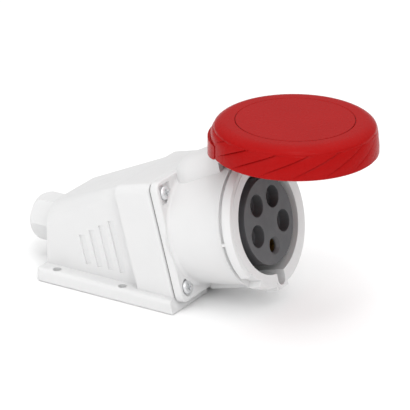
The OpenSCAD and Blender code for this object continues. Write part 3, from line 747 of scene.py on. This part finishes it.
@dataclass
class FrontShell:
    """The socket front: a thin plate with shallow screw pockets, barrel, bayonet collar and domed hinge hood.

    Its own frame has Z along the socket's axis, X towards six o'clock and its origin on the box's front. The
    dome and the pin are circles seen from the side: place along the axis, height above it, and radius.
    """

    tilt_deg: float = 15.0
    frame_x: float = 63.0
    axis_s: float = 42.8
    rear: float = 0.9
    face: float = 5.9
    half: Range = (38.25, 37.2)
    corner: float = 5.5
    edge: float = 1.2
    edge_steps: int = 6
    plate_grid: tuple[int, int] = (64, 720)
    seat: float = 3.9
    screw: Range = (30.0, 29.0)
    bore_r: float = 5.5
    bore_blend: float = 0.6
    pocket_end: float = -24.0
    socket_r: float = 34.3
    root_r: float = 36.0
    root_fillet: float = 2.5
    root_sink: float = 0.05
    waist_r: float = 37.3
    flare_len: float = 19.0
    bend_steps: int = 9
    collar_r: float = 41.0
    collar_end: float = 54.0
    collar_round: float = 0.7
    lip_r: float = 38.0
    lip_end: float = 54.3
    groove_r: float = 38.8
    groove_z: Range = (46.0, 48.2)
    entry_r: float = 37.2
    entry_deg: Range = (44.0, 8.6)
    turn_deg: float = 35.0
    bridge_deg: float = 2.4
    sweep_deg: float = 72.0
    fan_deg: Range = (1.0, 0.25)
    fine_deg: float = 12.0
    step: float = 0.02
    lip_step: float = 0.01
    plug_r: float = 32.5
    recess_z: float = 12.8
    insert_r: float = 26.9
    floor_z: float = 6.8
    key_half: float = 4.0
    key_lip: float = 1.7
    key_wall: float = 1.4
    key_r: Range = (38.3, 40.5)
    rib_half: float = 6.0
    rib_r: Range = (39.7, 42.6)
    rib_reach: float = 0.5
    block_z: float = 45.6
    dome: Place = (13.4, 33.8, 12.2)
    dome_spread: float = 5.5
    pin: Place = (36.4, 47.0, 5.5)
    arch_power: float = 2.3
    hood_start: float = 2.0
    hood_gap: float = 0.7
    hood_sink: float = 1.8
    hood_rows: tuple[int, int] = (14, 16)
    hood_columns: tuple[int, int] = (41, 17)
    cheek: Range = (7.8, 12.5)
    cheek_lap: float = 1.5
    cheek_rows: tuple[int, int] = (12, 14)
    cheek_columns: int = 16
    cheek_turn_gap: Range = (0.004, 0.02)

    def place(self, points: np.ndarray) -> np.ndarray:
        """Carries points from the front's own frame to the part's.

        Args:
            points: Points in millimetres, X towards six o'clock and Z along the axis.

        Returns:
            The points in metres.
        """
        c, s = math.cos(math.radians(self.tilt_deg)), math.sin(math.radians(self.tilt_deg))
        out, up = points[:, 2], self.axis_s - points[:, 0]
        return np.stack([self.frame_x + out * c - up * s, points[:, 1], out * s + up * c], axis=-1) * MM

    def sectors(self) -> tuple[Range, Range, Range]:
        """Where the collar is cut, in degrees measured backwards from six o'clock, and again half a turn on.

        Returns:
            Start and end of the lug's entry, of the groove it turns in, and of the groove past the bridge.
        """
        first, half = self.entry_deg
        stop = first + self.turn_deg + half
        past = stop + self.bridge_deg
        return (first - half, first + half), (first, stop), (past, past + self.sweep_deg)

    def angles(self) -> np.ndarray:
        """Angles of the columns: a fan, finer at the keyway, with close pairs where the collar's cuts end.

        Returns:
            Angles in degrees, from -180.
        """
        (start, end), (_, stop), (past, last) = self.sectors()
        ends = np.array([start, end, stop, past, last])
        ends = -np.concatenate([ends, ends + 180.0])
        (wide, fine), near = self.fan_deg, self.fine_deg
        fan = [np.arange(-180.0, -near, wide), np.arange(-near, near, fine), np.arange(near, 180.0, wide)]
        every = np.concatenate([*fan, ends - self.step, ends + self.step])
        return np.unique(np.round((every + 180.0) % 360.0 - 180.0, 3))

    def far_side(self, angle: np.ndarray, middle: float, radius: float) -> np.ndarray:
        """Distance from the axis to the far side of a circle that is centred towards six o'clock.

        It is the centre's share along the angle plus the root of what the radius leaves beside it.

        Args:
            angle: Angles in radians, 0 at six o'clock.
            middle: Distance of the circle's centre from the axis.
            radius: The circle's radius.

        Returns:
            Distance at each angle.
        """
        return middle * np.cos(angle) + np.sqrt(np.maximum(radius**2 - (middle * np.sin(angle)) ** 2, 0.0))

    def slot(self, angle: np.ndarray, reach: float) -> np.ndarray:
        """Radius of the plug recess with the keyway's slot: straight sides and a round bottom.

        Args:
            angle: Angles in radians.
            reach: Radius of the slot's bottom.

        Returns:
            Radius at each angle.
        """
        side = self.key_half / np.maximum(np.abs(np.sin(angle)), TINY)
        bottom = self.far_side(angle, reach - self.key_half, self.key_half)
        return np.where(np.cos(angle) > 0.0, np.maximum(self.plug_r, np.minimum(side, bottom)), self.plug_r)

    def rib(self, angle: np.ndarray, z: float) -> np.ndarray:
        """Radius of the square rib at six o'clock, deeper along its block, and nought elsewhere.

        Args:
            angle: Angles in radians.
            z: Place along the axis.

        Returns:
            Radius at each angle.
        """
        if not self.face < z <= self.collar_end:
            return np.zeros(len(angle))
        reach = self.rib_r[1] if z > self.block_z else self.rib_r[0]
        side = self.rib_half / np.maximum(np.abs(np.sin(angle)), TINY)
        foot = reach / np.maximum(np.cos(angle), self.rib_reach)
        return np.where(np.cos(angle) > self.rib_reach, np.minimum(foot, side), 0.0)

    def outside(self, deg: np.ndarray) -> list[tuple[np.ndarray, float]]:
        """Rows of the outer skin: a fillet off the plate, a flare, the grooved collar and the lip.

        The fillet is a quarter circle and the flare a quarter ellipse that ends level with the collar. The
        lip bulges in a circle round the keyway's bottom.

        Args:
            deg: Angles of the columns.

        Returns:
            Radius at each angle and the row's place along the axis, from the rear to the lip's face.
        """
        angle, ones = np.radians(deg), np.ones(len(deg))
        back = (-deg) % 180.0
        entry, turn_groove, far_groove = ((back > start) & (back < end) for start, end in self.sectors())
        wall = np.where(entry, self.entry_r, self.collar_r)
        groove = np.where(turn_groove | far_groove, self.groove_r, self.collar_r)
        cut = np.where(entry, self.entry_r, groove)
        bend = np.linspace(0.0, math.pi / 2, self.bend_steps)
        rows = [(self.socket_r * ones, self.rear), (self.root_r * ones, self.rear)]
        foot, fillet = self.face - self.root_sink, self.root_fillet
        rows += [
            (ones * (self.root_r + fillet * (1.0 - math.sin(t))), foot + fillet * (1.0 - math.cos(t)))
            for t in bend
        ]
        flare, (rear, front) = self.collar_r - self.waist_r, self.groove_z
        rows += [
            (ones * (self.collar_r - flare * math.cos(t)), rear - self.flare_len * (1.0 - math.sin(t)))
            for t in bend[:-1]
        ]
        rows += [(self.collar_r * ones, rear - self.step), (cut, rear)]
        rows += [(cut, front), (wall, front + self.step)]
        top, edge = self.collar_end, self.collar_round
        nip = edge * (1.0 - math.sqrt(0.5))
        rows += [(wall, top - edge), (wall - nip, top - nip), (np.minimum(wall, self.collar_r - edge), top)]
        middle, radius = self.key_r[1] - self.key_half, self.key_half + self.key_lip
        beside = (np.abs(middle * np.sin(angle)) < radius) & (np.cos(angle) > 0.0)
        key_rim = np.where(beside, self.far_side(angle, middle, radius), 0.0)
        lip = np.maximum(np.minimum(wall, self.lip_r), key_rim)
        rows += [(lip, top + self.lip_step), (lip, self.lip_end)]
        return [(np.maximum(r, self.rib(angle, z)), z) for r, z in rows]

    def inside(self, angle: np.ndarray) -> list[tuple[np.ndarray, float]]:
        """Rows of the plug recess, its stepped keyway and the insert's seat.

        Args:
            angle: Angles of the columns in radians.

        Returns:
            Radius at each angle and the row's place along the axis, from the lip's face to the rear.
        """
        shallow, deep = (self.slot(angle, reach) for reach in self.key_r)
        insert, socket = np.full(len(angle), self.insert_r), np.full(len(angle), self.socket_r)
        ledge = self.block_z + self.key_wall
        return [(deep, self.lip_end), (deep, ledge), (shallow, ledge - self.step), (shallow, self.recess_z),
                (insert, self.recess_z), (insert, self.floor_z), (socket, self.floor_z)]

    def barrel(self) -> Shell:
        """Barrel, collar, rib and recess as one closed grid of radius over angle.

        Returns:
            Points in the front's frame and quads.
        """
        deg = self.angles()
        angle = np.radians(deg)
        rows = self.outside(deg) + self.inside(angle)
        r = np.stack([radius for radius, _ in rows])
        z = np.array([[height] for _, height in rows])
        return about_axis(r, angle, z), grid_faces(*r.shape, True, True)

    def plate(self) -> Shell:
        """The plate as a closed ring of radius over angle, out to a rounded square.

        Its face is sunk to the screws' seat by a smooth step within the two upper pockets and the two lower
        bores.

        Returns:
            Points in the front's frame and quads.
        """
        rings, columns = self.plate_grid
        angle = full_turn(columns) - math.pi
        way = np.stack([np.abs(np.cos(angle)), np.abs(np.sin(angle))])
        half = np.array(self.half)[:, None]
        straight = np.min(half / np.maximum(way, TINY), axis=0)
        inner = half - self.corner
        along = np.sum(way * inner, axis=0)
        bend = along + np.sqrt(np.maximum(along**2 - np.sum(inner**2) + self.corner**2, 0.0))
        out = np.where(np.all(way * straight > inner, axis=0), bend, straight)
        share = np.linspace(1.0, 0.0, rings)[:, None]
        across = self.socket_r + (out - self.edge - self.socket_r) * share
        screw_x, screw_y = self.screw
        x, y = across * np.cos(angle), np.abs(across * np.sin(angle)) - screw_y
        ends = np.maximum(-screw_x - self.bore_r - x, x - self.pocket_end)
        pocket = np.maximum(ends, np.abs(y) - self.bore_r)
        bore = np.hypot(x - screw_x, y) - self.bore_r
        top = self.face - (self.face - self.seat) * eased(0.5 - np.minimum(pocket, bore) / self.bore_blend)
        turn = np.linspace(0.0, math.pi / 2, self.edge_steps)[:-1, None]
        side = out - self.edge * (1.0 - np.cos(turn))
        rise = np.repeat(self.face - self.edge * (1.0 - np.sin(turn)), columns, axis=1)
        r = np.concatenate([np.full((1, columns), self.socket_r), out[None, :], side, across])
        z = np.concatenate([np.full((2, columns), self.rear), rise, top])
        return about_axis(r, angle, z), grid_faces(*r.shape, True, True)

    def lean(self) -> float:
        """Direction from the dome's centre to where the hood's straight line touches it.

        Returns:
            Angle in radians, from the axis.
        """
        (x0, p0, r0), (x1, p1, r1) = self.dome, self.pin
        return math.atan2(p1 - p0, x1 - x0) + math.acos((r0 - r1) / math.hypot(x1 - x0, p1 - p0))

    def crown(self, station: np.ndarray) -> np.ndarray:
        """Height of the hood's crown: the dome's circle, the line that touches both, then the pin's circle.

        Args:
            station: Places along the axis.

        Returns:
            Height above the axis at each place, as a column.
        """
        (x0, p0, r0), (x1, p1, r1), lean = self.dome, self.pin, self.lean()
        dome = p0 + np.sqrt(np.maximum(r0**2 - (station - x0) ** 2, 0.0))
        line = p0 + (r0 - (station - x0) * math.cos(lean)) / math.sin(lean)
        knuckle = p1 + np.sqrt(np.maximum(r1**2 - (station - x1) ** 2, 0.0))
        front = np.where(station < x1 + r1 * math.cos(lean), line, knuckle)
        return np.where(station < x0 + r0 * math.cos(lean), dome, front)[:, None]

    def half_width(self, station: np.ndarray) -> np.ndarray:
        """Half of the hood's width: the dome's circle, drawn out sideways, then narrowing to the knuckles.

        Args:
            station: Places along the axis.

        Returns:
            Half of the width at each place, as a column.
        """
        x0, _, r0 = self.dome
        wide = self.dome_spread + np.sqrt(np.maximum(r0**2 - (np.minimum(station, x0) - x0) ** 2, 0.0))
        narrow = np.clip((station - x0) / (self.pin[0] - x0), 0.0, 1.0)
        return (wide + (self.cheek[1] - wide) * narrow)[:, None]

    def capped(self, station: np.ndarray, y: np.ndarray, p: np.ndarray) -> Shell:
        """Sections carried along the axis, with each end drawn together to the section's middle.

        Args:
            station: Place of each section along the axis.
            y: Sideways place of each point, a row for each section.
            p: Height of each point above the axis, in the same way.

        Returns:
            Points in the front's frame and quads.
        """
        grid = np.stack(np.broadcast_arrays(-p, y, station[:, None]), axis=-1)
        first, last = (np.broadcast_to(row.mean(axis=0), grid[:1].shape) for row in (grid[0], grid[-1]))
        grid = np.concatenate([first, grid, last])
        return grid.reshape(-1, 3), grid_faces(*grid.shape[:2], False, True)

    def hood(self) -> Shell:
        """The domed hood: superellipse arches carried out from the plate, standing on the barrel's wall.

        Returns:
            Points in the front's frame and quads.
        """
        (x0, _, r0), (x1, _, r1) = self.dome, self.pin
        touch, end = x0 + r0 * math.cos(self.lean()), x1 - r1 - self.hood_gap
        near, far = self.hood_rows
        dome = np.linspace(self.hood_start, touch, near)
        station = np.concatenate([dome, np.linspace(touch, end, far)[1:]])
        wide, seat = self.half_width(station), self.root_r - self.hood_sink
        foot = np.sqrt(seat**2 - wide**2)
        t, power = np.linspace(0.0, math.pi, self.hood_columns[0]), 2.0 / self.arch_power
        y = wide * np.sign(np.cos(t)) * np.abs(np.cos(t)) ** power
        p = foot + (self.crown(station) - foot) * np.sin(t) ** power
        back = np.linspace(-1.0, 1.0, self.hood_columns[1])[1:-1] * wide
        y = np.concatenate([y, back], axis=1)
        p = np.concatenate([p, np.sqrt(seat**2 - back**2)], axis=1)
        return self.capped(station, y, p)

    def cheek_shell(self, side: float) -> Shell:
        """One outer knuckle: the hood's arch carried on beside the lid's arm, then round the pin's circle.

        Each section runs from the arm's gap out to the arch's foot and back along the barrel's wall, or, past
        the pin, along the lower half of the circle.

        Args:
            side: 1 for the far knuckle and -1 for the near one.

        Returns:
            Points in the front's frame and quads.
        """
        x1, p1, r1 = self.pin
        (before, past), (start, stop) = self.cheek_rows, self.cheek_turn_gap
        rounding = x1 + r1 * np.sin(np.linspace(start, math.pi / 2 - stop, past))
        station = np.concatenate([np.linspace(x1 - r1 - self.cheek_lap, x1, before), rounding])
        wide, seat, gap = self.half_width(station), self.root_r - self.hood_sink, self.cheek[0]
        y = gap + (wide - gap) * np.sin(np.linspace(0.0, math.pi / 2, self.cheek_columns))
        foot = np.sqrt(seat**2 - wide**2)
        under = p1 - np.sqrt(np.maximum(r1**2 - (station - x1) ** 2, 0.0))[:, None]
        low = np.where(station[:, None] <= x1, np.sqrt(seat**2 - y**2), under)
        arch = np.maximum(1.0 - (y / wide) ** self.arch_power, 0.0) ** (1.0 / self.arch_power)
        high = np.maximum(foot + (self.crown(station) - foot) * arch, low + self.step)
        y = np.concatenate([y, y[:, ::-1]], axis=1)
        p = np.concatenate([high, low[:, ::-1]], axis=1)
        points, quads = self.capped(station, side * y, p)
        return points, quads[:, ::-1] if side > 0.0 else quads

    def build(self, paintbox: Paintbox) -> bpy.types.Object:
        """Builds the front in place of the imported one.

        Args:
            paintbox: The finishes.

        Returns:
            The front.
        """
        points, quads = joined([
            self.barrel(), self.plate(), self.hood(), self.cheek_shell(1.0), self.cheek_shell(-1.0),
        ])
        obj = mesh_object("front_shell", self.place(points), quads)
        weld(obj)
        paintbox.paint(obj, Slot.WHITE)
        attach(obj, Body.HOUSING.value)
        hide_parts("socket_front")
        return obj


@dataclass
class HingePin:
    """The hinge pin, ended inside the hood's rounded knuckles so that it doesn't stand out of their sides."""

    core_r: float = 0.02
    radius: float = 2.0
    half: float = 7.95
    edge: float = 0.1
    steps: int = 48

    def build(self, paintbox: Paintbox) -> bpy.types.Object:
        """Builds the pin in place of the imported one: a chamfered section carried once round the hinge's axis.

        Args:
            paintbox: The finishes.

        Returns:
            The pin.
        """
        rim = self.radius - self.edge
        end = np.array([(self.core_r, self.half), (rim, self.half), (self.radius, self.half - self.edge)])
        points, quads = turned(np.concatenate([end * (1.0, -1.0), end[::-1]]), self.steps)
        obj = mesh_object("hinge_pin_short", (points[:, ABOUT_Y] + np.array(HINGE_AXIS)) * MM, quads)
        paintbox.paint(obj, Slot.STEEL)
        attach(obj, Body.HOUSING.value)
        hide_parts("hinge_pin")
        return obj


@dataclass(frozen=True)
class NodeLook:
    """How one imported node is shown: its finish and the rounding of its edges in millimetres."""

    node: str
    slot: Slot
    edge: float = 0.0


@dataclass
class Assembly:
    """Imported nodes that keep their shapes."""

    looks: tuple[NodeLook, ...] = ()

    def dress(self, nodes: dict[str, bpy.types.Object], paintbox: Paintbox) -> None:
        """Gives the nodes their finishes and softened edges.

        Args:
            nodes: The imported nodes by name.
            paintbox: The finishes.
        """
        for look in self.looks:
            obj = nodes[look.node]
            paintbox.paint(obj, look.slot)
            if look.edge:
                soften(obj, look.edge * MM)
            LOG.info("dressed %s as %s", look.node, look.slot.value)


@dataclass
class Housing(Assembly):
    """The wall box, the front's seal and screws, and the cable gland."""

    looks: tuple[NodeLook, ...] = (
        NodeLook("back_box", Slot.WHITE, 0.6),
        NodeLook("front_gasket", Slot.RUBBER),
        NodeLook("cover_screws", Slot.STEEL, 0.15),
        NodeLook("gland_body", Slot.WHITE, 0.3),
        NodeLook("gland_washer", Slot.RUBBER),
        NodeLook("gland_locknut", Slot.WHITE, 0.3),
        NodeLook("gland_seal", Slot.RUBBER),
        NodeLook("gland_nut", Slot.WHITE, 0.35),
    )


@dataclass
class Contacts(Assembly):
    """The dark insert, its carrier and the brass sleeves behind its face."""

    looks: tuple[NodeLook, ...] = (
        NodeLook("contact_insert", Slot.GREY, 0.3),
        NodeLook("contact_carrier", Slot.GREY, 0.3),
        *(NodeLook(f"sleeve_{pole}", Slot.BRASS) for pole in ("l1", "l2", "l3", "neutral", "earth")),
        NodeLook("terminal_screws", Slot.STEEL),
        NodeLook("carrier_screws", Slot.STEEL),
    )


@dataclass
class LidInside(Assembly):
    """The seal inside the lid."""

    looks: tuple[NodeLook, ...] = (NodeLook("lid_seal", Slot.RUBBER),)


@dataclass(frozen=True)
class Lamp:
    """A square soft lamp: where it hangs, its side in metres and its power in watts."""

    name: str
    place: Place
    size: float
    power: float

    def hang(self, target: Place) -> None:
        """Hangs the lamp so that it faces a place.

        Args:
            target: The place.
        """
        data = bpy.data.lights.new(self.name, "AREA")
        data.shape = "SQUARE"
        data.size = self.size
        data.energy = self.power
        lamp = bpy.data.objects.new(self.name, data)
        gap = np.array(target) - np.array(self.place)
        climb = math.atan2(gap[2], math.hypot(gap[0], gap[1]))
        lamp.location = self.place
        lamp.rotation_euler = (math.pi / 2 + climb, 0.0, math.atan2(-gap[0], gap[1]))
        bpy.context.scene.collection.objects.link(lamp)


@dataclass
class Studio:
    """Pale floor, soft lights and a long-lens camera at the photograph's angle."""

    camera_at: Place = (0.9519, -1.4432, 0.7625)
    pitch_deg: float = 22.61
    yaw_deg: float = 31.73
    focal_px: float = 3030.7
    image_px: float = 410.0
    sensor_mm: float = 36.0
    clip: Range = (0.05, 30.0)
    target: Place = (0.03, 0.0, 0.055)
    sky: Range = (0.45, 1.15)
    sky_heights: Range = (0.35, 0.8)
    floor_half: float = 6.0
    floor_points: int = 9
    floor_z: float = -0.0006
    floor_colour: Colour = (0.95, 0.95, 0.95)
    floor_roughness: float = 0.9
    floor_shine: float = 0.1
    lamps: tuple[Lamp, ...] = (
        Lamp("key", (1.1, -1.0, 1.1), 1.2, 9.5),
        Lamp("fill", (-0.5, -1.6, 0.8), 1.4, 6.5),
        Lamp("top", (0.1, 0.3, 1.8), 1.4, 3.5),
        Lamp("edge", (0.42, -0.5, 1.75), 0.3, 2.0),
    )

    def lay_floor(self) -> None:
        """Lays a wide pale floor just under the mounting face."""
        side = np.linspace(-self.floor_half, self.floor_half, self.floor_points)
        u, v = np.meshgrid(side, side)
        points = np.stack([u, v, np.full_like(u, self.floor_z)], axis=-1).reshape(-1, 3)
        obj = mesh_object("studio_floor", points, grid_faces(*u.shape, False, False))
        graph = Graph("pale_floor")
        graph.shader.inputs["Base Color"].default_value = (*self.floor_colour, 1.0)
        graph.shader.inputs["Roughness"].default_value = self.floor_roughness
        graph.shader.inputs["Specular IOR Level"].default_value = self.floor_shine
        obj.data.materials.append(graph.material)

    def hang_sky(self) -> None:
        """Lights the scene from all round, more from high up, by a smooth step of the height."""
        world = bpy.data.worlds.new("studio_sky")
        world.use_nodes = True
        tree = world.node_tree
        height, share = tree.nodes.new("ShaderNodeSeparateXYZ"), tree.nodes.new("ShaderNodeMapRange")
        share.interpolation_type = "SMOOTHSTEP"
        for socket, limit in zip(RANGE_SOCKETS, (*self.sky_heights, *self.sky)):
            share.inputs[socket].default_value = limit
        background = tree.nodes["Background"]
        background.inputs["Color"].default_value = (1.0, 1.0, 1.0, 1.0)
        tree.links.new(tree.nodes.new("ShaderNodeTexCoord").outputs["Generated"], height.inputs["Vector"])
        tree.links.new(height.outputs["Z"], share.inputs["Value"])
        tree.links.new(share.outputs["Result"], background.inputs["Strength"])
        bpy.context.scene.world = world

    def set_camera(self) -> None:
        """Sets the camera at the photograph's angle."""
        data = bpy.data.cameras.new("photo_camera")
        data.sensor_width = self.sensor_mm
        data.lens = self.focal_px / self.image_px * self.sensor_mm
        data.clip_start, data.clip_end = self.clip
        camera = bpy.data.objects.new("photo_camera", data)
        camera.location = self.camera_at
        camera.rotation_euler = (math.radians(90.0 - self.pitch_deg), 0.0, math.radians(self.yaw_deg))
        bpy.context.scene.collection.objects.link(camera)
        bpy.context.scene.camera = camera

    def build(self) -> None:
        """Sets up the floor, the sky, the lamps and the camera."""
        self.lay_floor()
        self.hang_sky()
        bpy.context.scene.view_settings.view_transform = "Standard"
        for lamp in self.lamps:
            lamp.hang(self.target)
        self.set_camera()


def main() -> None:
    """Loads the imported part, dresses it, builds the new pieces and sets up the studio."""
    logging.basicConfig(level=logging.INFO, format="%(name)s: %(message)s")
    for leftover in list(bpy.data.objects):
        bpy.data.objects.remove(leftover)
    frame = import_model()
    paintbox = Paintbox()
    for assembly in (Housing(), Contacts(), LidInside()):
        assembly.dress(frame["nodes"], paintbox)
    for maker in (LockingRing(), LidShell(), FrontShell(), HingePin()):
        piece = maker.build(paintbox)
        LOG.info("built %s with %d faces", piece.name, len(piece.data.polygons))
    Studio().build()
    bpy.context.view_layer.update()


if __name__ == "__main__":
    main()
